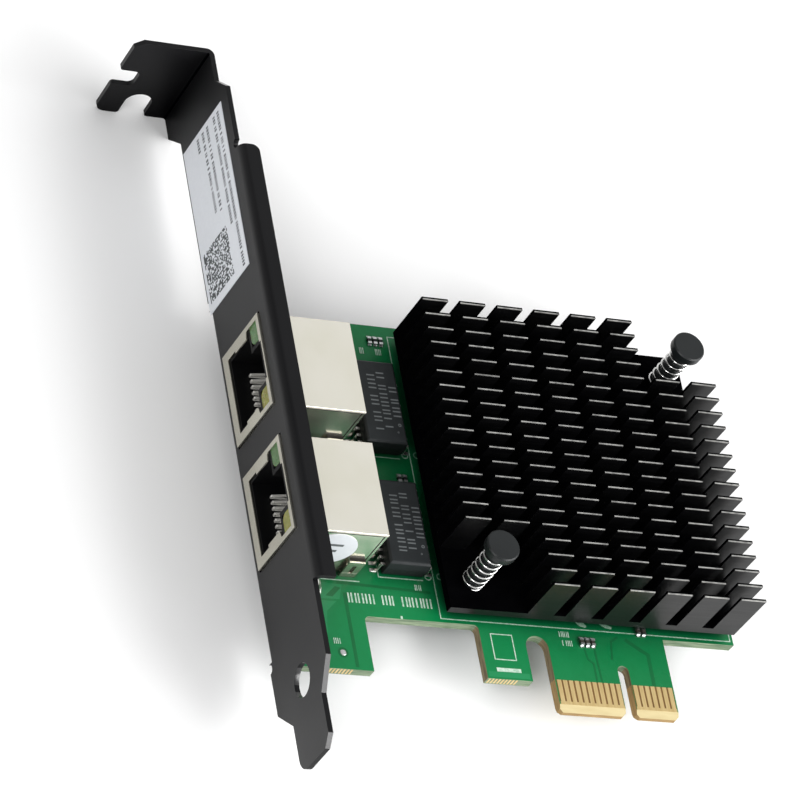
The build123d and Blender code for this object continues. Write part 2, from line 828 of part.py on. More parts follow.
# Heat sink: a flat base with rows of fins that a saw has cut into pins
with BuildPart() as heat_sink:
    with BuildSketch(Plane.XY.offset(sink_low_z)):
        with Locations((sink_x, sink_y)):
            Rectangle(sink_length, sink_width)
        with Locations(*pin_places):
            Circle(pin_radius + hole_clearance, mode=Mode.SUBTRACT)
    extrude(amount=sink_base)
    fin_places = []
    for column in range(fin_columns):
        for line in range(fin_rows):
            lower_corner = column < clear_columns and line < clear_rows
            upper_corner = column >= fin_columns - clear_columns and line >= fin_rows - clear_rows
            if not lower_corner and not upper_corner:
                fin_x = sink_x + (column - (fin_columns - 1) / 2) * fin_column_pitch
                fin_y = sink_y + (line - (fin_rows - 1) / 2) * fin_row_pitch
                fin_places.append((fin_x, fin_y))
    with BuildSketch(Plane.XY.offset(sink_base_top_z)):
        with Locations(*fin_places):
            Rectangle(fin_length, fin_thickness)
    extrude(amount=sink_top_z - sink_base_top_z)
save(heat_sink.part, "heat_sink")


# Push pins and their springs
def push_pin(place):
    """Moulded pin with a flat cap, and a split, barbed tip that snaps under the board."""
    axis_plane = Plane(origin=(place[0], place[1], 0), x_dir=(1, 0, 0), z_dir=(0, -1, 0))
    barb_z = -board_thickness - close_fit
    tip_z = -board_thickness - pin_reach
    cap_z = pin_top_z - pin_cap_height
    with BuildPart() as pin:
        with BuildSketch(axis_plane):
            with BuildLine():
                Polyline(
                    (0, tip_z),
                    (pin_tip_radius, tip_z),
                    (pin_barb_radius, barb_z),
                    (pin_radius, barb_z),
                    (pin_radius, cap_z),
                    (pin_cap_radius, cap_z),
                    (pin_cap_radius, pin_top_z - pin_cap_edge),
                    (pin_cap_radius - pin_cap_edge, pin_top_z),
                    (0, pin_top_z),
                    close=True,
                )
            make_face()
        revolve(axis=Axis((place[0], place[1], 0), (0, 0, 1)))
        with BuildSketch(Plane.XY.offset(tip_z)):
            with Locations(place):
                Rectangle(2 * pin_cap_radius, pin_split)
        extrude(amount=pin_split_height, mode=Mode.SUBTRACT)
    return pin.part


def push_pin_spring(place):
    """Open coil spring between the heat sink's base and the pin's cap, in short straight runs."""
    low_z = sink_base_top_z + spring_wire
    high_z = pin_top_z - pin_cap_height - spring_wire
    runs = spring_turns * spring_runs
    coil_points = []
    for step in range(runs + 1):
        angle = math.radians(spring_start + step * 360 / spring_runs)
        coil_x = place[0] + spring_radius * math.cos(angle)
        coil_y = place[1] + spring_radius * math.sin(angle)
        coil_points.append((coil_x, coil_y, low_z + (high_z - low_z) * step / runs))
    with BuildPart() as spring:
        with BuildLine() as coil:
            Polyline(*coil_points)
        start = coil.line
        with BuildSketch(Plane(origin=start @ 0, z_dir=start % 0)):
            RegularPolygon(spring_wire, 6)
        sweep(path=coil.line, transition=Transition.RIGHT)
    return spring.part


for number, place in enumerate(pin_places, start=1):
    save(push_pin(place), f"push_pin_{number}")
    save(push_pin_spring(place), f"push_pin_spring_{number}")
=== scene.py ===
import math
import random

import bmesh
import bpy
from mathutils import Matrix, Vector


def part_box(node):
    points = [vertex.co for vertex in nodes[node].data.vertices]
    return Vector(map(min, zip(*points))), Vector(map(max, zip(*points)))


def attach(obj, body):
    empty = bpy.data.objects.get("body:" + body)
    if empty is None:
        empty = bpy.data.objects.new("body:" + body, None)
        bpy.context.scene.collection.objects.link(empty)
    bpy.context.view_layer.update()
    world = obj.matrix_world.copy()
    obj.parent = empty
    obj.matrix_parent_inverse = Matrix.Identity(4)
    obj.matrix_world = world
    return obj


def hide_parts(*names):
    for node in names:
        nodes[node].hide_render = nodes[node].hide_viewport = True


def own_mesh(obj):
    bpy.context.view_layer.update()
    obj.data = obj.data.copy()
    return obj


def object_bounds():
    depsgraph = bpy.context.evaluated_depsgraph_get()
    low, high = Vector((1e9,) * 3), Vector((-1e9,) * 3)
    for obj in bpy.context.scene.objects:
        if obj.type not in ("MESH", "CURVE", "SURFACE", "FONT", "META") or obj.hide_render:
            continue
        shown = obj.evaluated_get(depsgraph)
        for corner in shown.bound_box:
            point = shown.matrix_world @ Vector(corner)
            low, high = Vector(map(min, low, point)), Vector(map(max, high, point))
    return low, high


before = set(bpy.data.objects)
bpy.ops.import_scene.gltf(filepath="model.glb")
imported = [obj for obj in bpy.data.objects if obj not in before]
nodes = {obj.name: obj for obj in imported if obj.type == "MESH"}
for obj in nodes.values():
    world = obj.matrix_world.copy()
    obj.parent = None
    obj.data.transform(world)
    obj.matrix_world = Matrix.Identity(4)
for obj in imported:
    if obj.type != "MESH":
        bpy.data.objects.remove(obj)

MM = 0.001
cad_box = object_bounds()
draw = random.Random(7)

# Camera of the photograph: its place, the way it looks, its upward direction and its field
CAMERA_PLACE_MM = (-335.83, -293.28, 509.13)
CAMERA_FORWARD = (0.44585, 0.50264, -0.74066)
CAMERA_UP = (-0.09264, 0.84892, 0.52034)
SENSOR_MM = 36.0
IMAGE_PIXELS = 800
FOCAL_PIXELS = 4528.4

# Heights of thin layers above what they lie on, in millimetres
MASK_HEIGHT = 0.008
TRACE_HEIGHT = 0.012
SILK_HEIGHT = 0.03
PRINT_HEIGHT = 0.01
PAD_HEIGHT = 0.04

# Widths of printed lines, in millimetres
SILK_LINE = 0.17
TRACE_LINE = 0.3

# Corners of a mesh closer than this, in metres, are one corner
WELD = 1e-6

# A face whose normal rises more than this is level
LEVEL = 0.99


def box_mm(name):
    """Lowest and highest corner of a CAD node, in millimetres."""
    low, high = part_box(name)
    return Vector(low) / MM, Vector(high) / MM


def part_boxes(name, chosen=lambda polygon: True):
    """Lowest and highest corner of each connected part of a CAD node's chosen faces, in millimetres."""
    mesh = nodes[name].data
    keys = [tuple(round(value / WELD) for value in vertex.co) for vertex in mesh.vertices]
    polygons = [polygon for polygon in mesh.polygons if chosen(polygon)]
    used = {corner for polygon in polygons for corner in polygon.vertices}
    leader = {keys[corner]: keys[corner] for corner in used}

    def first_of(key):
        while leader[key] != key:
            key = leader[key]
        return key

    for polygon in polygons:
        start = first_of(keys[polygon.vertices[0]])
        for corner in polygon.vertices[1:]:
            leader[first_of(keys[corner])] = start
    groups = {}
    for corner in used:
        groups.setdefault(first_of(keys[corner]), []).append(mesh.vertices[corner].co / MM)
    boxes = []
    for corners in groups.values():
        low = Vector([min(corner[axis] for corner in corners) for axis in range(3)])
        high = Vector([max(corner[axis] for corner in corners) for axis in range(3)])
        boxes.append((low, high))
    return sorted(boxes, key=lambda box: tuple(box[0]))


# Node trees

NOISE_RANGE = (0.3, 0.7)        # most of a noise lies between these
PAINTED_SHADE_REACH = 11.0            # how far a taller part casts painted shade on what lies beside it, in millimetres
PAINTED_SHADE_RANGE = (0.27, 0.82)    # open share of the sky at which the painted shade is full, and at which it is gone


class Tree:
    """A material's nodes, with one Principled shader, in short calls."""

    def __init__(self, name, **sockets):
        self.material = bpy.data.materials.new(name)
        self.material.use_nodes = True
        self.nodes = self.material.node_tree.nodes
        self.links = self.material.node_tree.links
        self.shader = self.nodes["Principled BSDF"]
        for socket, value in sockets.items():
            self.shader.inputs[socket.replace("_", " ")].default_value = value
        self.place = self.add("ShaderNodeTexCoord").outputs["Object"]

    def add(self, kind, **values):
        """A new node with some of its settings."""
        node = self.nodes.new(kind)
        for key, value in values.items():
            setattr(node, key, value)
        return node

    def join(self, source, target):
        self.links.new(source, target)

    def put(self, socket, target):
        """Feeds a node's input with a value or with another node's output."""
        if isinstance(socket, bpy.types.NodeSocket):
            self.join(socket, target)
        else:
            target.default_value = socket

    def math(self, operation, *values):
        node = self.add("ShaderNodeMath", operation=operation)
        for value, target in zip(values, node.inputs):
            self.put(value, target)
        return node.outputs[0]

    def scaled(self, scale):
        """Object coordinates, stretched along each axis."""
        node = self.add("ShaderNodeMapping")
        node.inputs["Scale"].default_value = scale
        self.join(self.place, node.inputs["Vector"])
        return node.outputs[0]

    def noise(self, per_metre, detail=3.0, roughness=0.55, stretch=(1, 1, 1)):
        """Noise of so many waves a metre, from 0 to 1."""
        node = self.add("ShaderNodeTexNoise")
        node.inputs["Scale"].default_value = per_metre
        node.inputs["Detail"].default_value = detail
        node.inputs["Roughness"].default_value = roughness
        self.join(self.scaled(stretch), node.inputs["Vector"])
        return node.outputs["Fac"]

    def spread(self, value, low, high, to_low=0.0, to_high=1.0):
        """A value's range from low to high, stretched over another range and held at its ends."""
        node = self.add("ShaderNodeMapRange", clamp=True)
        self.put(value, node.inputs["Value"])
        node.inputs["From Min"].default_value = low
        node.inputs["From Max"].default_value = high
        node.inputs["To Min"].default_value = to_low
        node.inputs["To Max"].default_value = to_high
        return node.outputs["Result"]

    def blend(self, factor, first, second):
        """The first colour where the factor is 0 and the second where it is 1."""
        node = self.add("ShaderNodeMix", data_type="RGBA")
        self.put(factor, node.inputs["Factor"])
        self.put(first, node.inputs["A"])
        self.put(second, node.inputs["B"])
        return node.outputs["Result"]

    def wandering(self, noise, low, high):
        """A value that wanders with a noise, from low to high."""
        return self.spread(noise, *NOISE_RANGE, low, high)

    def mottled(self, noise, first, second):
        """A colour that wanders with a noise, from the first to the second."""
        return self.blend(self.spread(noise, *NOISE_RANGE), first, second)

    def axis(self, source, index):
        node = self.add("ShaderNodeSeparateXYZ")
        self.join(source, node.inputs[0])
        return node.outputs[index]

    def normal(self):
        """The way a face looks, without smoothing."""
        return self.add("ShaderNodeNewGeometry").outputs["True Normal"]

    def openness(self, reach_mm=PAINTED_SHADE_REACH):
        """From 0 in corners beside taller parts to 1 in the open."""
        node = self.add("ShaderNodeAmbientOcclusion", samples=6)
        node.inputs["Distance"].default_value = reach_mm * MM
        return self.spread(node.outputs["AO"], *PAINTED_SHADE_RANGE)

    def with_painted_shade(self, colour, dark):
        """A colour with painted shade in corners beside taller parts."""
        return self.blend(self.openness(), dark, colour)

    def colour(self, source):
        self.put(source, self.shader.inputs["Base Color"])

    def roughness(self, source):
        self.put(source, self.shader.inputs["Roughness"])

    def bump(self, height, distance_mm, strength=1.0):
        node = self.add("ShaderNodeBump")
        node.inputs["Strength"].default_value = strength
        node.inputs["Distance"].default_value = distance_mm * MM
        self.join(height, node.inputs["Height"])
        self.join(node.outputs["Normal"], self.shader.inputs["Normal"])


def grey(value):
    return (value, value, value, 1.0)


def rgb(red, green, blue):
    """Linear colour of an sRGB colour from 0 to 255."""
    def linear(value):
        if value > 10:
            return ((value / 255 + 0.055) / 1.055) ** 2.4
        return value / 255 / 12.92

    return (linear(red), linear(green), linear(blue), 1.0)


# Materials

# Colour of the solder mask in full painted shade beside taller parts
MASK_IN_PAINTED_SHADE = (2, 46, 26)
GOLDEN_EDGE_TOP = 5.4       # the cut edges beside the contacts are golden up to this height
GOLDEN_EDGE_LEFT = -12.4    # and from here to the right
BEVEL_RISE = 0.985          # a normal with less of Z than this is the contacts' bevel or a cut edge
EDGE_RISE = 0.5             # and with less than this, a cut edge
LOW_EDGE_FALL = -0.8        # a normal with less of Y than this looks down the board


def board_material():
    """Glossy green solder mask over glass cloth, with painted shade beside taller parts; its cut edges are
    tan, and golden by the contacts.
    """
    tree = Tree("solder_mask", IOR=1.5, Specular_IOR_Level=0.27)
    cloth = tree.noise(900, 2.0, 0.5)
    broad = tree.noise(45, 3.0, 0.5)
    mask = tree.mottled(broad, rgb(2, 111, 58), rgb(6, 121, 66))
    mask = tree.blend(tree.spread(cloth, 0.35, 0.75, 0.0, 0.2), mask, rgb(16, 131, 78))
    # Painted shade: the mask goes dark beside taller parts
    mask = tree.with_painted_shade(mask, rgb(*MASK_IN_PAINTED_SHADE))
    plies = tree.noise(260, 2.0, 0.6, (1, 1, 14))
    routed = tree.blend(tree.spread(plies, 0.35, 0.65), rgb(96, 84, 62), rgb(136, 122, 94))
    sawn = tree.blend(tree.spread(plies, 0.35, 0.65), rgb(88, 108, 84), rgb(134, 148, 122))
    looks_down = tree.math("LESS_THAN", tree.axis(tree.normal(), 1), LOW_EDGE_FALL)
    edge = tree.blend(looks_down, routed, sawn)
    golden = tree.blend(tree.spread(plies, 0.35, 0.65), rgb(138, 112, 72), rgb(164, 136, 90))
    beside_contacts = tree.math("LESS_THAN", tree.axis(tree.place, 1), GOLDEN_EDGE_TOP * MM)
    by_block = tree.math("GREATER_THAN", tree.axis(tree.place, 0), GOLDEN_EDGE_LEFT * MM)
    edge = tree.blend(tree.math("MULTIPLY", beside_contacts, by_block), edge, golden)
    upright = tree.math("ABSOLUTE", tree.axis(tree.normal(), 2))
    on_edge = tree.math("LESS_THAN", upright, EDGE_RISE)
    slanted = tree.math("LESS_THAN", upright, BEVEL_RISE)
    bevel = tree.math("MULTIPLY", slanted, tree.math("GREATER_THAN", upright, EDGE_RISE))
    bare = tree.mottled(plies, rgb(192, 175, 130), rgb(202, 187, 142))
    colour = tree.blend(on_edge, mask, edge)
    tree.colour(tree.blend(bevel, colour, bare))
    glossy = tree.wandering(broad, 0.24, 0.36)
    tree.roughness(tree.blend(on_edge, glossy, grey(0.75)))
    tree.bump(tree.noise(2600, 2.0), 0.006, 0.5)
    return tree.material


def mask_material(name, low, high, roughness):
    """Solder mask over copper, a little lighter or darker than the bare board's, with painted shade beside
    taller parts.
    """
    tree = Tree(name, IOR=1.5, Specular_IOR_Level=0.27)
    mask = tree.mottled(tree.noise(60), rgb(*low), rgb(*high))
    tree.colour(tree.with_painted_shade(mask, rgb(*MASK_IN_PAINTED_SHADE)))
    tree.roughness(tree.wandering(tree.noise(400), roughness, roughness + 0.1))
    tree.bump(tree.noise(2600, 2.0), 0.006, 0.5)
    return tree.material


def silk_material():
    """Printed ink, a little thin in places, with painted shade beside taller parts."""
    tree = Tree("silk_ink", IOR=1.45)
    ink = tree.blend(tree.spread(tree.noise(1500), 0.3, 0.6), rgb(128, 176, 148), rgb(196, 216, 200))
    tree.colour(tree.with_painted_shade(ink, rgb(60, 96, 76)))
    tree.roughness(tree.wandering(tree.noise(900), 0.5, 0.7))
    tree.bump(tree.noise(3000), 0.01, 0.6)
    return tree.material


def gold_material():
    """Plated contacts, with faint rub marks along them."""
    tree = Tree("contact_gold", Metallic=0.55)
    rub = tree.noise(500, 4.0, 0.6, (6, 0.6, 1))
    tree.colour(tree.mottled(rub, rgb(198, 170, 112), rgb(220, 196, 142)))
    tree.roughness(tree.wandering(rub, 0.3, 0.45))
    tree.bump(rub, 0.004, 0.5)
    return tree.material


COAT_PAINTED_SHADE_REACH = 13.0   # as the reach of the painted shade above, for the bracket's folds
IN_FOLD = -0.25             # inside the fold, X and Y of the normal are both under this; painted shade goes there
ACROSS_BEND = 0.1           # the side folds' faces have less of Y than this in their normal
FLAT = 0.97                 # a flat face has more than this of one axis in its normal
EDGE_GLOSS = 0.8


def powder_coat_material():
    """Dark satin powder coat with its fine orange peel, and painted shade in the folds."""
    tree = Tree("powder_coat", IOR=1.5)
    peel = tree.noise(1400, 2.0, 0.5)
    patch = tree.noise(35, 3.0, 0.5)
    sides = [tree.axis(tree.normal(), index) for index in range(3)]
    # Painted shade: the coat goes near black and loses its gloss in the inner fold and beside taller parts
    in_fold = tree.math("MULTIPLY", *[tree.math("LESS_THAN", side, IN_FOLD) for side in sides[:2]])
    unshaded_share = tree.math("MULTIPLY", tree.openness(COAT_PAINTED_SHADE_REACH), tree.math("SUBTRACT", 1, in_fold))
    coat = tree.mottled(patch, rgb(12, 12, 14), rgb(18, 18, 20))
    tree.colour(tree.blend(unshaded_share, rgb(1, 1, 2), coat))
    # The broad outer face is glossier than the flanges, and rounded edges are glossier still
    largest = tree.math("MAXIMUM", *[tree.math("ABSOLUTE", side) for side in sides[:2]])
    largest = tree.math("MAXIMUM", largest, tree.math("ABSOLUTE", sides[2]))
    across_bend = tree.math("GREATER_THAN", tree.math("ABSOLUTE", sides[1]), ACROSS_BEND)
    on_edge = tree.math("MULTIPLY", across_bend, tree.math("LESS_THAN", largest, FLAT))
    face_gloss = tree.spread(sides[0], -0.98, -0.35, 0.4, 0.15)
    gloss = tree.math("MAXIMUM", face_gloss, tree.math("MULTIPLY", on_edge, EDGE_GLOSS))
    tree.put(tree.math("MULTIPLY", unshaded_share, gloss), tree.shader.inputs["Specular IOR Level"])
    satin = tree.wandering(patch, 0.42, 0.52)
    tree.roughness(tree.math("SUBTRACT", satin, tree.math("MULTIPLY", on_edge, 0.18)))
    tree.bump(peel, 0.01, 0.5)
    return tree.material


def anodised_material():
    """Black anodised extrusion with fine lines along it, glossier on its sides than on its sawn tips."""
    tree = Tree("black_anodised", IOR=1.5)
    lines = tree.noise(300, 4.0, 0.6, (0.5, 1, 7))
    tree.colour(tree.mottled(lines, rgb(2, 2, 3), rgb(6, 6, 7)))
    on_side = tree.math("GREATER_THAN", tree.math("ABSOLUTE", tree.axis(tree.normal(), 1)), 0.5)
    tree.put(tree.spread(on_side, 0, 1, 0.0, 0.33), tree.shader.inputs["Specular IOR Level"])
    tree.roughness(tree.wandering(lines, 0.3, 0.42))
    tree.bump(lines, 0.01, 0.5)
    return tree.material


PLATE_SHADE_TOP = 4.3       # the plate has painted shade below this height


def nickel_material():
    """Satin nickel plate on a drawn steel shield, with painted shade on the socket's rim and near the
    board.
    """
    tree = Tree("satin_nickel", Metallic=0.92)
    grain = tree.noise(700, 4.0, 0.6, (0.15, 5, 5))
    cloud = tree.noise(90, 3.0, 0.5)
    plate = tree.mottled(cloud, rgb(232, 229, 214), rgb(242, 239, 228))
    # Painted shade: a darker copy of the plate on the rim facing the front and low on the walls
    shaded_plate = tree.mottled(cloud, rgb(188, 185, 171), rgb(210, 207, 193))
    on_rim = tree.math("LESS_THAN", tree.axis(tree.normal(), 0), -0.7)
    low_on_shield = tree.math("LESS_THAN", tree.axis(tree.place, 2), PLATE_SHADE_TOP * MM)
    tree.colour(tree.blend(tree.math("MAXIMUM", on_rim, low_on_shield), plate, shaded_plate))
    tree.roughness(tree.wandering(cloud, 0.16, 0.26))
    tree.bump(grain, 0.002, 0.15)
    return tree.material


def bright_material(name, low, high, roughness, metallic=1.0):
    """Bright plated or tinned metal, slightly uneven."""
    tree = Tree(name, Metallic=metallic)
    cloud = tree.noise(1200, 3.0, 0.5)
    tree.colour(tree.mottled(cloud, rgb(*low), rgb(*high)))
    tree.roughness(tree.wandering(cloud, roughness, roughness + 0.12))
    tree.bump(cloud, 0.004, 0.4)
    return tree.material


def plastic_material(name, low, high, roughness, grain_mm=0.01, gloss=0.3, dark=None):
    """Moulded plastic with a fine spark-eroded grain."""
    tree = Tree(name, IOR=1.49, Specular_IOR_Level=gloss)
    colour = tree.mottled(tree.noise(180), rgb(*low), rgb(*high))
    # A dark colour, where given, is painted shade beside taller parts
    tree.colour(tree.with_painted_shade(colour, rgb(*dark)) if dark else colour)
    tree.roughness(tree.wandering(tree.noise(500), roughness, roughness + 0.12))
    tree.bump(tree.noise(2400, 3.0, 0.6), grain_mm, 0.6)
    return tree.material


def lamp_material(name, low, high):
    """Tinted, slightly cloudy lamp body."""
    tree = Tree(name, IOR=1.5, Subsurface_Weight=0.3, Subsurface_Scale=0.0008)
    tree.colour(tree.mottled(tree.noise(700), rgb(*low), rgb(*high)))
    tree.roughness(tree.wandering(tree.noise(900), 0.18, 0.3))
    return tree.material


def paper_material():
    """Coated label paper."""
    tree = Tree("label_paper", IOR=1.45, Specular_IOR_Level=0.3)
    fibre = tree.noise(1600, 4.0, 0.6)
    tree.colour(tree.mottled(fibre, rgb(214, 217, 222), rgb(219, 222, 227)))
    tree.roughness(tree.wandering(fibre, 0.5, 0.62))
    tree.bump(fibre, 0.003, 0.4)
    return tree.material


BOARD = board_material()
POUR = mask_material("mask_over_pour", (24, 126, 74), (34, 136, 84), 0.28)
TRACE = mask_material("mask_over_trace", (2, 94, 48), (6, 104, 56), 0.3)
SILK = silk_material()
GOLD = gold_material()
BLACK_STEEL = powder_coat_material()
ANODISED = anodised_material()
NICKEL = nickel_material()
TIN = bright_material("tinned_metal", (206, 204, 198), (232, 230, 224), 0.22)
SPRING_STEEL = bright_material("spring_steel", (214, 214, 212), (238, 238, 236), 0.1)
WIRE = bright_material("contact_wire", (240, 238, 230), (250, 248, 242), 0.16, 0.5)
# Painted highlight for the heat sink's fin edges
PAINTED_HIGHLIGHT = bright_material("painted_highlight", (132, 132, 130), (196, 196, 192), 0.4, 0.7)
# Chip mouldings: painted shade beside taller parts
CHIP = plastic_material("chip_moulding", (26, 30, 32), (34, 38, 40), 0.5, dark=(8, 9, 10))
SOCKET = plastic_material("socket_moulding", (9, 9, 10), (14, 14, 15), 0.42, gloss=0.15)
PIN = plastic_material("pin_moulding", (20, 23, 24), (28, 31, 32), 0.34, gloss=0.3)
CERAMIC = plastic_material("ceramic_part", (46, 44, 40), (62, 58, 52), 0.4)
THERMAL = plastic_material("thermal_pad", (140, 146, 156), (160, 166, 174), 0.7)
INK = plastic_material("label_ink", (84, 87, 92), (104, 107, 112), 0.6, 0.004)
DARK_INK = plastic_material("label_pattern_ink", (66, 70, 72), (88, 92, 94), 0.6, 0.004)
MARK = plastic_material("laser_mark", (86, 90, 92), (106, 110, 112), 0.65, 0.006)
GAP = plastic_material("bare_laminate", (104, 76, 38), (124, 92, 50), 0.55)
# Dark lines on the shields: partly real joints, partly painted shadow under their folded lips; all painted
# shadow in the slits beside their tabs
SEAM_AND_SLIT_SHADOW = plastic_material("seam_and_slit_shadow", (18, 15, 12), (30, 26, 20), 0.6, 0.004)
SOLDER = bright_material("solder", (190, 192, 192), (220, 222, 222), 0.26)
# The shields' folded lips: a real fold, pale and matt as a painted highlight along it
FOLD_AND_HIGHLIGHT = bright_material("folded_lip_highlight", (214, 208, 196), (228, 224, 212), 0.35, 0.3)
GREEN_LAMP = lamp_material("green_lamp", (62, 100, 50), (88, 122, 74))
YELLOW_LAMP = lamp_material("yellow_lamp", (116, 116, 38), (138, 136, 58))
PAPER = paper_material()

NODE_MATERIALS = {
    "pcb": BOARD,
    "edge_contacts": GOLD,
    "bracket": BLACK_STEEL,
    "bracket_label": PAPER,
    "inspection_sticker": PAPER,
    "bracket_screws": TIN,
    "heat_sink": ANODISED,
    "switch_chip": CHIP,
    "thermal_pads": THERMAL,
    "crystals": TIN,
    "power_coils": CHIP,
    "chip_capacitors": CERAMIC,
    "chip_resistors": CHIP,
}
ENDING_MATERIALS = (
    ("_shield", NICKEL),
    ("_housing", SOCKET),
    ("_contacts", WIRE),
    ("green_lamp", GREEN_LAMP),
    ("yellow_lamp", YELLOW_LAMP),
    ("_leads", TIN),
)
STARTING_MATERIALS = (
    ("push_pin_spring", SPRING_STEEL),
    ("push_pin", PIN),
    ("magnetics", CHIP),
    ("controller", CHIP),
)


def node_material(name):
    """The finish of a CAD node, by its whole name, its ending or its beginning."""
    if name in NODE_MATERIALS:
        return NODE_MATERIALS[name]
    for ending, material in ENDING_MATERIALS:
        if name.endswith(ending):
            return material
    for beginning, material in STARTING_MATERIALS:
        if name.startswith(beginning):
            return material
    raise KeyError(name)


EDGE_SEGMENTS = 3
EDGE_ANGLE = 40             # degrees between two faces that have an edge to round


def dress(node, material, edge_mm):
    """Gives a CAD node its material and, where it has one, a small rounded edge."""
    node.data.materials.clear()
    node.data.materials.append(material)
    if edge_mm:
        weld = node.modifiers.new("weld", "WELD")
        weld.merge_threshold = WELD
        bevel = node.modifiers.new("edge", "BEVEL")
        bevel.width = edge_mm * MM
        bevel.segments = EDGE_SEGMENTS
        bevel.limit_method = "ANGLE"
        bevel.angle_limit = math.radians(EDGE_ANGLE)


# Widths of the rounded edges, by the ends of the nodes' names
EDGE_MM = {
    "bracket": 0.2,
    "magnetics_1": 0.12,
    "magnetics_2": 0.12,
    "jack_1_shield": 0.06,
    "jack_2_shield": 0.06,
    "push_pin_1": 0.12,
    "push_pin_2": 0.12,
    "green_lamp": 0.5,
    "yellow_lamp": 0.5,
    "jack_1_contacts": 0.14,
    "jack_2_contacts": 0.14,
}
for name, node in nodes.items():
    edges = [width for ending, width in EDGE_MM.items() if name.endswith(ending)]
    dress(node, node_material(name), edges[0] if edges else 0)


# Pieces that the scene adds

def add_object(name, mesh, material, body):
    """Closes a mesh that was drawn and puts it on one of the part's bodies."""
    bmesh.ops.recalc_face_normals(mesh, faces=mesh.faces)
    data = bpy.data.meshes.new(name)
    mesh.to_mesh(data)
    mesh.free()
    data.materials.append(material)
    piece = bpy.data.objects.new(name, data)
    bpy.context.scene.collection.objects.link(piece)
    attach(piece, body)
    return piece


class Piece:
    """One object of closed prisms and bands, drawn on a face of the card in millimetres."""

    def __init__(self, name, material, slot, face):
        self.name = name
        self.material = material
        self.slot = slot
        self.face = face
        self.mesh = bmesh.new()

    def loop(self, outline, height):
        return [self.mesh.verts.new(Vector(self.face(u, v, height)) * MM) for u, v in outline]

    def skirt(self, lower, upper):
        """Side faces between two loops of equally many corners."""
        for step in range(len(lower)):
            after = (step + 1) % len(lower)
            self.mesh.faces.new((lower[step], lower[after], upper[after], upper[step]))

    def prism(self, outline, height, low=0.0):
        """Closed prism over an outline, between two heights above the face."""
        lower, upper = self.loop(outline, low), self.loop(outline, height)
        self.mesh.faces.new(lower)
        self.mesh.faces.new(upper)
        self.skirt(lower, upper)

    def cone(self, place, low_radius, high_radius, height, sides=16):
        """Closed cut-off cone that stands on the face."""
        lower = self.loop(circle(place, low_radius, sides), 0)
        upper = self.loop(circle(place, high_radius, sides), height)
        self.mesh.faces.new(lower)
        self.mesh.faces.new(upper)
        self.skirt(lower, upper)

    def band(self, inner, outer, height):
        """Closed frame between two outlines of equally many corners."""
        corners = ((inner, 0), (outer, 0), (outer, height), (inner, height))
        loops = [self.loop(outline, rise) for outline, rise in corners]
        for step in range(len(loops)):
            self.skirt(loops[step], loops[(step + 1) % len(loops)])

    def done(self):
        return add_object(self.name, self.mesh, self.material, "card")


def circle(place, radius, sides=24):
    turns = [2 * math.pi * step / sides for step in range(sides)]
    return [(place[0] + radius * math.cos(turn), place[1] + radius * math.sin(turn)) for turn in turns]


def rectangle(low, high):
    return [(low[0], low[1]), (high[0], low[1]), (high[0], high[1]), (low[0], high[1])]


def grown(low, high, margin):
    """Rectangle with a margin all round."""
    return rectangle((low[0] - margin, low[1] - margin), (high[0] + margin, high[1] + margin))


def stroke(points, width):
    """Outline of a line of one width through a few points, with mitred corners."""
    points = [Vector(point) for point in points]
    runs = [(end - start).normalized() for start, end in zip(points, points[1:])]
    left, right = [], []
    for step, point in enumerate(points):
        before, after = runs[max(step - 1, 0)], runs[min(step, len(runs) - 1)]
        along = (before + after).normalized()
        across = Vector((-along.y, along.x)) * (width / 2 / along.dot(before))
        left.append(point + across)
        right.append(point - across)
    return [tuple(corner) for corner in left + right[::-1]]


board_low = box_mm("pcb")[0]
label_low, label_high = box_mm("bracket_label")
sink_low, sink_high = box_mm("heat_sink")
JACKS = (1, 2)
PINS = (1, 2)


def on_board(u, v, height):
    """The component face: u is X and v is Y."""
    return (u, v, height)


def under_board(u, v, height):
    """The solder face, where heights go down."""
    return (u, v, board_low.z - height)


def wall_face(y, outwards):
    """A face across the card's height: u is X and v is Z."""
    return lambda u, v, height: (u, y + outwards * height, v)


DOUBLE_SHARE = 0.75             # of the ticks that have a second one beside them
SECOND_TICK = (0.4, 0.62)       # where it stands, as a share of the pitch
GROUP_GAP = 0.8                 # between groups, as a share of the pitch


def ticks(piece, start, pitch, height, groups, width, thickness):
    """A plain row of single and double upright ticks in groups, along u from its start."""
    u, v = start
    for count in groups:
        for tick in range(count):
            piece.prism(rectangle((u, v), (u + width, v + height)), thickness)
            if draw.random() < DOUBLE_SHARE:
                second = u + pitch * draw.uniform(*SECOND_TICK)
                piece.prism(rectangle((second, v), (second + width, v + height)), thickness)
            u += pitch
        u += pitch * GROUP_GAP


# Print, traces and pads on the component face, at places in millimetres

JACK_LINE_GAP = 1.45            # between a jack's wall and the line printed beside it
JACK_LINE_START = -48.84
MODULE_GAP = 0.3                # between a module and the line printed round its corners
MODULE_LINE_RISE = 2.2
RING_RADIUS = 0.42
RING_PLACES = ((4.5, -6.95), (6.55, -6.75))     # from a module's middle
SINK_LINE_GAP = 0.12            # between the heat sink and the line printed round it
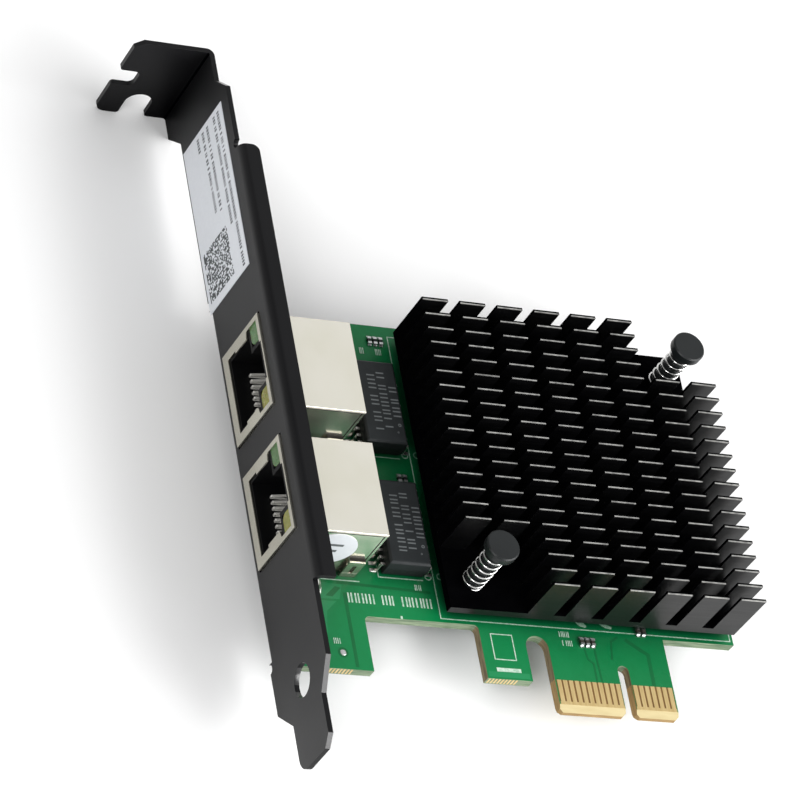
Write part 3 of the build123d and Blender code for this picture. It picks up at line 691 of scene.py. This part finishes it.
# Each row of ticks: start, pitch, height, groups and width
LONG_ROW = ((-44.5, 15.75), 1.17, 1.65, (4, 2, 5), 0.26)
SHORT_ROWS = (
    ((-9.9, 12.7), 0.62, 0.95, (3,), 0.16),
    ((-9.6, 11.2), 0.62, 0.95, (3,), 0.16),
    ((-33.0, 18.7), 0.62, 0.95, (2,), 0.16),
    ((-48.1, 8.6), 0.62, 0.95, (2,), 0.16),
    ((-34.8, 60.0), 0.55, 1.1, (2,), 0.16),
    ((-32.1, 60.0), 0.55, 1.1, (2,), 0.16),
)
LOW_EDGE_TICK = ((-36.3, 13.62), (-35.95, 14.1))
HOOK_FRAME = ((-21.6, 8.1), (-18.2, 12.2))      # on the small leg
HOOK_BAR = ((-21.74, 5.95), (-17.65, 6.6))
BLOBS = (                       # beside two pads in front of the heat sink
    ((-6.7, 15.5), (-5.25, 15.5), (-4.8, 14.85), (-5.1, 14.6), (-6.05, 14.85)),
    ((-2.65, 15.5), (-1.4, 15.5), (-0.4, 15.05), (-0.55, 14.7), (-1.6, 14.85)),
)


def silk_print():
    """White lines, rings, ticks and marks printed on the component face."""
    piece = Piece("silk_print", SILK, "label_paper", on_board)
    # Outline of the heat sink
    inner = grown(sink_low, sink_high, SINK_LINE_GAP)
    piece.band(inner, grown(sink_low, sink_high, SINK_LINE_GAP + SILK_LINE), SILK_HEIGHT)
    # Ends of each module's outline, and two rings beside it
    for number in JACKS:
        low, high = box_mm(f"magnetics_{number}")
        for edge, inwards in ((low.y - MODULE_GAP, 1), (high.y + MODULE_GAP, -1)):
            turn = edge + inwards * MODULE_LINE_RISE
            line = [(low.x - MODULE_GAP, turn), (low.x - MODULE_GAP, edge), (high.x, edge)]
            piece.prism(stroke(line, SILK_LINE), SILK_HEIGHT)
        middle = (low + high) / 2
        for du, dv in RING_PLACES:
            place = (middle.x + du, middle.y + dv)
            piece.band(circle(place, RING_RADIUS), circle(place, RING_RADIUS + SILK_LINE), SILK_HEIGHT)
    # Line beside the lower jack
    low, high = box_mm(f"jack_{JACKS[-1]}_shield")
    wall = box_mm("inspection_sticker")[1].y
    line = [(JACK_LINE_START, wall - JACK_LINE_GAP), (high.x, wall - JACK_LINE_GAP)]
    piece.prism(stroke(line, SILK_LINE), SILK_HEIGHT)
    # A long row of ticks along the lower edge, and short ones beside small parts
    for row in (LONG_ROW, *SHORT_ROWS):
        ticks(piece, *row, SILK_HEIGHT)
    # Frame and bar on the small leg, two pads' marks and a tick at the lower edge
    low, high = HOOK_FRAME
    piece.band(rectangle(low, high), grown(low, high, SILK_LINE), SILK_HEIGHT)
    piece.prism(rectangle(*HOOK_BAR), SILK_HEIGHT)
    for blob in BLOBS:
        piece.prism(blob, SILK_HEIGHT)
    piece.prism(rectangle(*LOW_EDGE_TICK), SILK_HEIGHT)
    piece.done()


# Corners of the pours, and points and width of the traces
POURS = (
    ((-49.9, 18.9), (-45.1, 18.7), (-45.9, 16.15), (-49.6, 16.05)),
    ((-49.4, 15.75), (-46.5, 15.75), (-48.3, 14.0), (-48.9, 9.9), (-49.9, 6.2)),
    ((-23.2, 5.0), (-16.3, 5.0), (-16.3, 5.9), (-23.2, 5.9)),
)
TRACES = (
    (((-5.96, 10.97), (-5.7, 9.18), (-4.87, 8.5), (-4.9, 5.45)), TRACE_LINE),
    (((-4.25, 11.95), (-4.13, 7.92), (-4.05, 5.45)), TRACE_LINE),
    (((0.19, 13.4), (-1.05, 12.5), (-1.5, 9.4)), TRACE_LINE),
    (((1.49, 13.06), (3.76, 11.5), (4.98, 10.75), (4.9, 5.45)), 0.6),
    (((-44.9, 17.34), (-44.89, 4.9)), 0.55),
    (((-45.94, 19.0), (-30.5, 18.5)), 0.45),
)
DARK_PATCH = ((-48.1, 16.6), (-46.3, 18.3), (-45.4, 18.1), (-47.0, 16.5))


def copper_under_mask():
    """Lighter pours and darker traces that show through the solder mask."""
    pour = Piece("copper_pours", POUR, "board", on_board)
    for outline in POURS:
        pour.prism(outline, MASK_HEIGHT)
    pour.done()
    trace = Piece("traces", TRACE, "board", on_board)
    for points, width in TRACES:
        trace.prism(stroke(points, width), TRACE_HEIGHT)
    trace.prism(DARK_PATCH, TRACE_HEIGHT)
    trace.done()


TEST_PAD_PLACE = (-46.85, 7.2)
TEST_PAD_RADIUS = 0.5
TEST_PAD_TOP_RADIUS = 0.42
TEST_PAD_RING_RADIUS = 0.85


def test_pad():
    """A bare round pad in a dark ring, on the long leg."""
    ring = Piece("test_pad_ring", TRACE, "board", on_board)
    rim = circle(TEST_PAD_PLACE, TEST_PAD_RADIUS)
    ring.band(rim, circle(TEST_PAD_PLACE, TEST_PAD_RING_RADIUS), TRACE_HEIGHT)
    ring.done()
    pad = Piece("test_pad", SOLDER, "bright_metal", on_board)
    pad.cone(TEST_PAD_PLACE, TEST_PAD_RADIUS, TEST_PAD_TOP_RADIUS, PAD_HEIGHT)
    pad.done()


SCREW_PAD_PAST_HEAD = 0.45
SCREW_PAD_UNDER_HEAD = 0.1
SCREW_PAD_SIDES = 48


def screw_pads():
    """A tinned ring round the head of each bracket screw."""
    for number, (low, high) in enumerate(part_boxes("bracket_screws"), 1):
        middle = (low + high) / 2
        head = (high.x - low.x) / 2
        inner = circle(middle, head - SCREW_PAD_UNDER_HEAD, SCREW_PAD_SIDES)
        outer = circle(middle, head + SCREW_PAD_PAST_HEAD, SCREW_PAD_SIDES)
        ring = Piece(f"screw_pad_{number}", SOLDER, "bright_metal", on_board)
        ring.band(inner, outer, PAD_HEIGHT)
        ring.done()


silk_print()
copper_under_mask()
test_pad()
screw_pads()


# Edge contacts: bare laminate between them, a plated band at their ends, and plating lines on the legs

BLOCK_MARGIN = 0.12         # past the first and the last contact of a block
BAND_HEIGHT = 0.5
BAND_BELOW_CONTACTS = 0.015
COMB_PITCH = 0.56
COMB_WIDTH = 0.3
COMB_FROM_BACK = 0.15       # bare edge between a plating line and the board's two faces
COMB_FROM_FRONT = 0.1
SHORT_LEG_COMB = (-23.2, -17.8, 4.7)        # start and end in X, and the leg's lower edge in Y
LONG_LEG_COMB = (-49.3, -44.9, 4.45)


def contact_details():
    """Bare laminate between the contacts of each block and a plated band along their ends."""
    contacts = part_boxes("edge_contacts")
    low, high = box_mm("edge_contacts")
    front = [box for box in contacts if box[1].z > 0]
    gaps = [after[0].x - before[1].x for before, after in zip(front, front[1:])]
    key = gaps.index(max(gaps))
    blocks = ((front[0][0].x, front[key][1].x), (front[key + 1][0].x, front[-1][1].x))
    for side, face in (("front", on_board), ("back", under_board)):
        laminate = Piece(f"contact_gaps_{side}", GAP, "board", face)
        band = Piece(f"contact_band_{side}", GOLD, "gold", face)
        for start, end in blocks:
            left, right = start - BLOCK_MARGIN, end + BLOCK_MARGIN
            laminate.prism(rectangle((left, low.y), (right, high.y)), MASK_HEIGHT)
            along_ends = rectangle((left, low.y), (right, low.y + BAND_HEIGHT))
            band.prism(along_ends, high.z - BAND_BELOW_CONTACTS)
        laminate.done()
        band.done()


def comb(name, start, end, y):
    """Ends of plating lines on a leg's lower edge."""
    piece = Piece(name, GOLD, "gold", wall_face(y, -1))
    for step in range(int((end - start) / COMB_PITCH)):
        u = start + step * COMB_PITCH
        low, high = (u, board_low.z + COMB_FROM_BACK), (u + COMB_WIDTH, -COMB_FROM_FRONT)
        piece.prism(rectangle(low, high), PRINT_HEIGHT)
    piece.done()


contact_details()
comb("plating_lines_short_leg", *SHORT_LEG_COMB)
comb("plating_lines_long_leg", *LONG_LEG_COMB)


# Jacks and modules: seams of the shields with painted shadow, painted shadow in the tab slits, solder
# under the board, pads under the leads, and marks

SHELL = 0.25                # thickness of the shield's sheet
SHELL_FIT = 0.05            # between the moulding and the shield
SEAM_DROP = 0.62            # from the shield's top
SEAM_HEIGHT = 0.26
SEAM_FROM_FRONT = 1.4
SEAM_FROM_BACK = 0.3
REAR_SEAM = (0.6, 0.4)      # its two sides, from the shield's back
REAR_SEAM_BOTTOM = 0.2
FOLD_BELOW_TOP = 0.02
FOLD_PROUD = 0.05


def wall_places(number):
    """The outer faces of a shield's two side walls, in Y."""
    low, high = box_mm(f"jack_{number}_housing")
    return low.y - SHELL - SHELL_FIT, high.y + SHELL + SHELL_FIT


def shield_seams(number):
    """Dark seams, partly real joints and partly painted shadow under the folded lip, and the folded sheet
    above them, pale as a painted highlight, on both side walls.
    """
    low, high = box_mm(f"jack_{number}_shield")
    wall_low, wall_high = wall_places(number)
    z = high.z - SEAM_DROP
    start = low.x + SEAM_FROM_FRONT
    for side, y, outwards in (("lower", wall_low, -1), ("upper", wall_high, 1)):
        seam = Piece(f"jack_{number}_seam_{side}", SEAM_AND_SLIT_SHADOW, "nickel_shield", wall_face(y, outwards))
        seam.prism(rectangle((start, z), (high.x - SEAM_FROM_BACK, z + SEAM_HEIGHT)), PRINT_HEIGHT)
        rear_low = (high.x - REAR_SEAM[0], REAR_SEAM_BOTTOM)
        seam.prism(rectangle(rear_low, (high.x - REAR_SEAM[1], z)), PRINT_HEIGHT)
        seam.done()
        fold = Piece(f"jack_{number}_fold_{side}", FOLD_AND_HIGHLIGHT, "nickel_shield", wall_face(y, outwards))
        fold_high = (high.x, high.z - FOLD_BELOW_TOP)
        fold.prism(rectangle((start, z + SEAM_HEIGHT), fold_high), FOLD_PROUD)
        fold.done()


SLIT_PROUD = 0.015
SLIT_SUNK = 0.02


def tab_slit_shadow(number):
    """Painted shadow in the slit between the shield's wall and the side tab that stands off it."""
    wall = wall_places(number)[0]

    def on_tab(polygon):
        return polygon.normal.z > LEVEL and polygon.center.y < wall * MM

    slit = Piece(f"jack_{number}_tab_slit_shadow", SEAM_AND_SLIT_SHADOW, "nickel_shield", on_board)
    for low, high in part_boxes(f"jack_{number}_shield", on_tab):
        outline = rectangle((low.x, low.y + SHELL), (high.x, wall))
        slit.prism(outline, high.z + SLIT_PROUD, high.z - SLIT_SUNK)
    slit.done()


LEG_TO_FRONT = 10.5
TAIL_JOINT = (0.42, 0.24, 0.7)      # radius at the board, radius at the tip, and height
LEG_JOINT = (1.1, 0.65, 0.6)


def solder_joints(number):
    """Solder round each jack's tails and legs, under the board."""
    front = box_mm(f"jack_{number}_shield")[0].x
    tails = part_boxes(f"jack_{number}_contacts")
    wire = tails[0][1].y - tails[0][0].y
    places = [(tail[1].x - wire / 2, (tail[0].y + tail[1].y) / 2) for tail in tails]
    joints = Piece(f"jack_{number}_solder", SOLDER, "bright_metal", under_board)
    for place in places:
        joints.cone(place, *TAIL_JOINT)
    housing_low, housing_high = box_mm(f"jack_{number}_housing")
    for y in (housing_low.y - SHELL / 2, housing_high.y + SHELL / 2):
        joints.cone((front + LEG_TO_FRONT, y), *LEG_JOINT)
    joints.done()


PAD_UNDER_FOOT = 0.8
PAD_PAST_FOOT = 0.25
PAD_MARGIN = 0.08


def lead_pads(number):
    """Soldered pads under the feet of a module's leads."""
    body_low, body_high = box_mm(f"magnetics_{number}")
    middle = (body_low.x + body_high.x) / 2
    pads = Piece(f"magnetics_{number}_pads", SOLDER, "bright_metal", on_board)
    for low, high in part_boxes(f"magnetics_{number}_leads"):
        if low.x > middle:
            left, right = high.x - PAD_UNDER_FOOT, high.x + PAD_PAST_FOOT
        else:
            left, right = low.x - PAD_PAST_FOOT, low.x + PAD_UNDER_FOOT
        outline = rectangle((left, low.y - PAD_MARGIN), (right, high.y + PAD_MARGIN))
        pads.prism(outline, PAD_HEIGHT)
    pads.done()


MODULE_ROWS = (
    ((-5.1, 0.35), 1.45, 1.3, (7,), 0.24),
    ((-4.6, -1.3), 1.45, 1.3, (7,), 0.24),
    ((-2.6, -3.0), 1.45, 1.3, (4,), 0.24),
)
MODULE_DOTS = (((-4.05, -2.45), 0.28), ((-5.35, -2.0), 0.16))       # place and radius


def module_marks(number):
    """Plain ticks and two dots, laser marked on a module's top along the board's height."""
    low, high = box_mm(f"magnetics_{number}")
    middle = (low + high) / 2

    def on_top(u, v, height):
        return (middle.x - v, middle.y + u, high.z + height)

    marks = Piece(f"magnetics_{number}_marks", MARK, "chip_plastic", on_top)
    for row in MODULE_ROWS:
        ticks(marks, *row, PRINT_HEIGHT)
    for place, radius in MODULE_DOTS:
        marks.band(circle(place, radius * 0.5, 12), circle(place, radius, 12), PRINT_HEIGHT)
    marks.done()


for number in JACKS:
    shield_seams(number)
    tab_slit_shadow(number)
    solder_joints(number)
    lead_pads(number)
    module_marks(number)


# Heat sink: painted highlights, bright metal along the front edge of each fin's tip

PAINTED_HIGHLIGHT_DEPTH = 0.17
PAINTED_HIGHLIGHT_HEIGHT = 0.1
PAINTED_HIGHLIGHT_PROUD = 0.015
PAINTED_HIGHLIGHT_FROM_END = 0.1
TIP_REACH = 0.01            # a face this near the heat sink's top is a fin's tip


def painted_highlights():
    """A thin bright strip along the front edge of each fin's tip, as a painted highlight."""
    def at_tip(polygon):
        return polygon.normal.z > LEVEL and polygon.center.z > (sink_high.z - TIP_REACH) * MM

    piece = Piece("painted_fin_highlights", PAINTED_HIGHLIGHT, "black_aluminium", on_board)
    for low, high in part_boxes("heat_sink", at_tip):
        left, right = low.x + PAINTED_HIGHLIGHT_FROM_END, high.x - PAINTED_HIGHLIGHT_FROM_END
        outline = rectangle((left, low.y - PAINTED_HIGHLIGHT_PROUD), (right, low.y + PAINTED_HIGHLIGHT_DEPTH))
        piece.prism(outline, high.z + PAINTED_HIGHLIGHT_PROUD, high.z - PAINTED_HIGHLIGHT_HEIGHT)
    piece.done()


painted_highlights()


# Small parts: tinned ends and pads

END_LENGTH = 0.3
END_PROUD = 0.03
END_PAST = 0.05
FILLET_LENGTH = 0.3
FILLET_HEIGHT = 0.16


def part_ends(name):
    """Tinned ends of chip parts that lie along Y, and the solder beside them."""
    ends = Piece(f"{name}_ends", SOLDER, "bright_metal", on_board)
    for low, high in part_boxes(name):
        left, right = low.x - END_PROUD, high.x + END_PROUD
        for near, outwards in ((low.y, -1), (high.y, 1)):
            inner, outer = near - outwards * END_LENGTH, near + outwards * END_PAST
            lower, upper = sorted((inner, outer))
            ends.prism(rectangle((left, lower), (right, upper)), high.z + END_PROUD)
            lower, upper = sorted((near, near + outwards * FILLET_LENGTH))
            ends.prism(rectangle((left, lower), (right, upper)), FILLET_HEIGHT)
    ends.done()


for name in ("chip_capacitors", "chip_resistors"):
    part_ends(name)


# Label: rows of plain blocks and a random field of squares. Sticker: two bars.

LABEL_ROWS = ((12.95, 27.8), (11.45, 19.6), (8.9, 15.3), (7.2, 14.8), (5.3, 2.3))    # height and length
ROW_START = 0.9
ROW_HEIGHT = 0.75
BLOCK_WIDTHS = (0.18, 0.4)
BLOCK_GAP = 0.2
WIDE_GAP = 0.55
WIDE_GAP_SHARE = 0.16
FIELD_CORNER = (19.4, 0.85)
FIELD_CELLS = 33
FIELD_CELL = 0.265
FIELD_SHARE = 0.52          # of the cells that are printed
STICKER_BARS = ((1.1, 1.7), (-0.5, 1.2))        # height from the middle, and half its length
STICKER_BAR_HALF = 0.3


def label_print():
    """Printed blocks and squares; u runs down the bracket and v across it."""
    def on_label(u, v, height):
        return (label_low.x - height, label_high.y - u, label_low.z + v)

    rows = Piece("label_rows", INK, "label_paper", on_label)
    for v, length in LABEL_ROWS:
        u = ROW_START
        while u < ROW_START + length:
            width = draw.uniform(*BLOCK_WIDTHS)
            rows.prism(rectangle((u, v - ROW_HEIGHT / 2), (u + width, v + ROW_HEIGHT / 2)), PRINT_HEIGHT)
            u += width + (WIDE_GAP if draw.random() < WIDE_GAP_SHARE else BLOCK_GAP)
    rows.done()
    field = Piece("label_field", DARK_INK, "label_paper", on_label)
    for row in range(FIELD_CELLS):
        for column in range(FIELD_CELLS):
            if draw.random() < FIELD_SHARE:
                u = FIELD_CORNER[0] + column * FIELD_CELL
                v = FIELD_CORNER[1] + row * FIELD_CELL
                field.prism(rectangle((u, v), (u + FIELD_CELL, v + FIELD_CELL)), PRINT_HEIGHT)
    field.done()


def sticker_print():
    """Two plain bars on the round sticker."""
    low, high = box_mm("inspection_sticker")
    middle = (low + high) / 2
    piece = Piece("sticker_print", MARK, "label_paper", wall_face(low.y, -1))
    for rise, half in STICKER_BARS:
        z = middle.z + rise
        bar_low = (middle.x - half, z - STICKER_BAR_HALF)
        bar_high = (middle.x + half, z + STICKER_BAR_HALF)
        piece.prism(rectangle(bar_low, bar_high), PRINT_HEIGHT)
    piece.done()


label_print()
sticker_print()


# Springs of the push pins

SPRING_TURNS = 7.5
SPRING_WIRE = 0.17           # radius
SPRING_START = 250           # degrees round the pin
CLOSED_TURN = 0.5            # of a turn that lies flat at each end
RINGS_A_TURN = 36
WIRE_SIDES = 10


def spring(number):
    """Round wire in an open coil with closed ends."""
    low, high = box_mm(f"push_pin_spring_{number}")
    middle = (low + high) / 2
    radius = (high.x - low.x) / 2 - SPRING_WIRE
    rings = int(SPRING_TURNS * RINGS_A_TURN)
    flat = CLOSED_TURN / SPRING_TURNS
    centres = []
    for step in range(rings + 1):
        share = step / rings
        rise = min(max((share - flat) / (1 - 2 * flat), 0), 1)
        turn = math.radians(SPRING_START) + 2 * math.pi * SPRING_TURNS * share
        z = low.z + SPRING_WIRE + rise * (high.z - low.z - 2 * SPRING_WIRE)
        centres.append(Vector((middle.x + radius * math.cos(turn), middle.y + radius * math.sin(turn), z)))
    mesh = bmesh.new()
    loops = []
    for step, centre in enumerate(centres):
        along = (centres[min(step + 1, rings)] - centres[max(step - 1, 0)]).normalized()
        outwards = Vector((centre.x - middle.x, centre.y - middle.y, 0)).normalized()
        across = along.cross(outwards).normalized()
        loop = []
        for side in range(WIRE_SIDES):
            turn = 2 * math.pi * side / WIRE_SIDES
            place = centre + (outwards * math.cos(turn) + across * math.sin(turn)) * SPRING_WIRE
            loop.append(mesh.verts.new(place * MM))
        loops.append(loop)
    for before, after in zip(loops, loops[1:]):
        for side in range(WIRE_SIDES):
            other = (side + 1) % WIRE_SIDES
            mesh.faces.new((before[side], before[other], after[other], after[side])).smooth = True
    mesh.faces.new(loops[0])
    mesh.faces.new(loops[-1])
    coil = add_object(f"spring_coil_{number}", mesh, SPRING_STEEL, "card")
    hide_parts(f"push_pin_spring_{number}")
    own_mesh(coil)


for number in PINS:
    spring(number)


# Stage, lights and camera

DARK_SIDE = (-0.72, 0.1, 0.69)      # the sky is dimmest this way, above the bracket
SKY_FADE = (0.25, 0.9)              # cosine to that side where the fade starts and ends
SKY_STRENGTH = (0.84, 0.35)         # at those two
FLOOR_HALF = 6.0                    # metres
FLOOR_GAP = 0.0002                  # below the lowest corner of the card, in metres


def floor_material():
    """Pale, matt backdrop paper."""
    tree = Tree("floor_paper", IOR=1.45, Specular_IOR_Level=0.1)
    tree.colour(tree.mottled(tree.noise(6), rgb(247, 247, 247), rgb(250, 250, 250)))
    tree.roughness(tree.wandering(tree.noise(30), 0.8, 0.9))
    return tree.material


def make_floor():
    size = FLOOR_HALF
    z = cad_box[0][2] - FLOOR_GAP
    mesh = bpy.data.meshes.new("floor")
    corners = [(-size, -size, z), (size, -size, z), (size, size, z), (-size, size, z)]
    mesh.from_pydata(corners, [], [(0, 1, 2, 3)])
    floor = bpy.data.objects.new("floor", mesh)
    floor.data.materials.append(floor_material())
    bpy.context.scene.collection.objects.link(floor)


def make_sky():
    """Soft white surroundings that fade towards one side."""
    world = bpy.data.worlds.new("studio")
    world.use_nodes = True
    tree = world.node_tree
    background = tree.nodes["Background"]
    background.inputs["Color"].default_value = (1, 1, 1, 1)
    place = tree.nodes.new("ShaderNodeTexCoord")
    towards = tree.nodes.new("ShaderNodeVectorMath")
    towards.operation = "DOT_PRODUCT"
    towards.inputs[1].default_value = DARK_SIDE
    fade = tree.nodes.new("ShaderNodeMapRange")
    fade.inputs["From Min"].default_value = SKY_FADE[0]
    fade.inputs["From Max"].default_value = SKY_FADE[1]
    fade.inputs["To Min"].default_value = SKY_STRENGTH[0]
    fade.inputs["To Max"].default_value = SKY_STRENGTH[1]
    tree.links.new(place.outputs["Generated"], towards.inputs[0])
    tree.links.new(towards.outputs["Value"], fade.inputs["Value"])
    tree.links.new(fade.outputs["Result"], background.inputs["Strength"])
    bpy.context.scene.world = world


def area_light(name, place, target, size, watts):
    light = bpy.data.lights.new(name, "AREA")
    light.shape = "SQUARE"
    light.size = size
    light.energy = watts
    lamp = bpy.data.objects.new(name, light)
    lamp.location = place
    lamp.rotation_mode = "QUATERNION"
    lamp.rotation_quaternion = (Vector(target) - Vector(place)).to_track_quat("-Z", "Y")
    bpy.context.scene.collection.objects.link(lamp)


def make_lights():
    middle = (0, 0.04, 0)
    area_light("key_light", (0.85, -0.5, 0.55), middle, 0.9, 15)
    area_light("edge_light", (0.49, -0.81, 0.55), middle, 0.25, 2.0)
    area_light("socket_light", (-0.5, -0.3, 0.5), middle, 0.3, 2.2)


def make_camera():
    """Camera that sees the card as the photograph does."""
    data = bpy.data.cameras.new("camera")
    data.sensor_width = SENSOR_MM
    data.lens = FOCAL_PIXELS / IMAGE_PIXELS * SENSOR_MM
    data.clip_start = 0.05
    data.clip_end = 20
    camera = bpy.data.objects.new("camera", data)
    forward = Vector(CAMERA_FORWARD).normalized()
    right = forward.cross(Vector(CAMERA_UP)).normalized()
    up = right.cross(forward)
    turn = Matrix((right, up, -forward)).transposed()
    camera.matrix_world = Matrix.Translation(Vector(CAMERA_PLACE_MM) * MM) @ turn.to_4x4()
    bpy.context.scene.collection.objects.link(camera)
    bpy.context.scene.camera = camera


make_floor()
make_sky()
make_lights()
make_camera()
bpy.context.scene.view_settings.view_transform = "Standard"
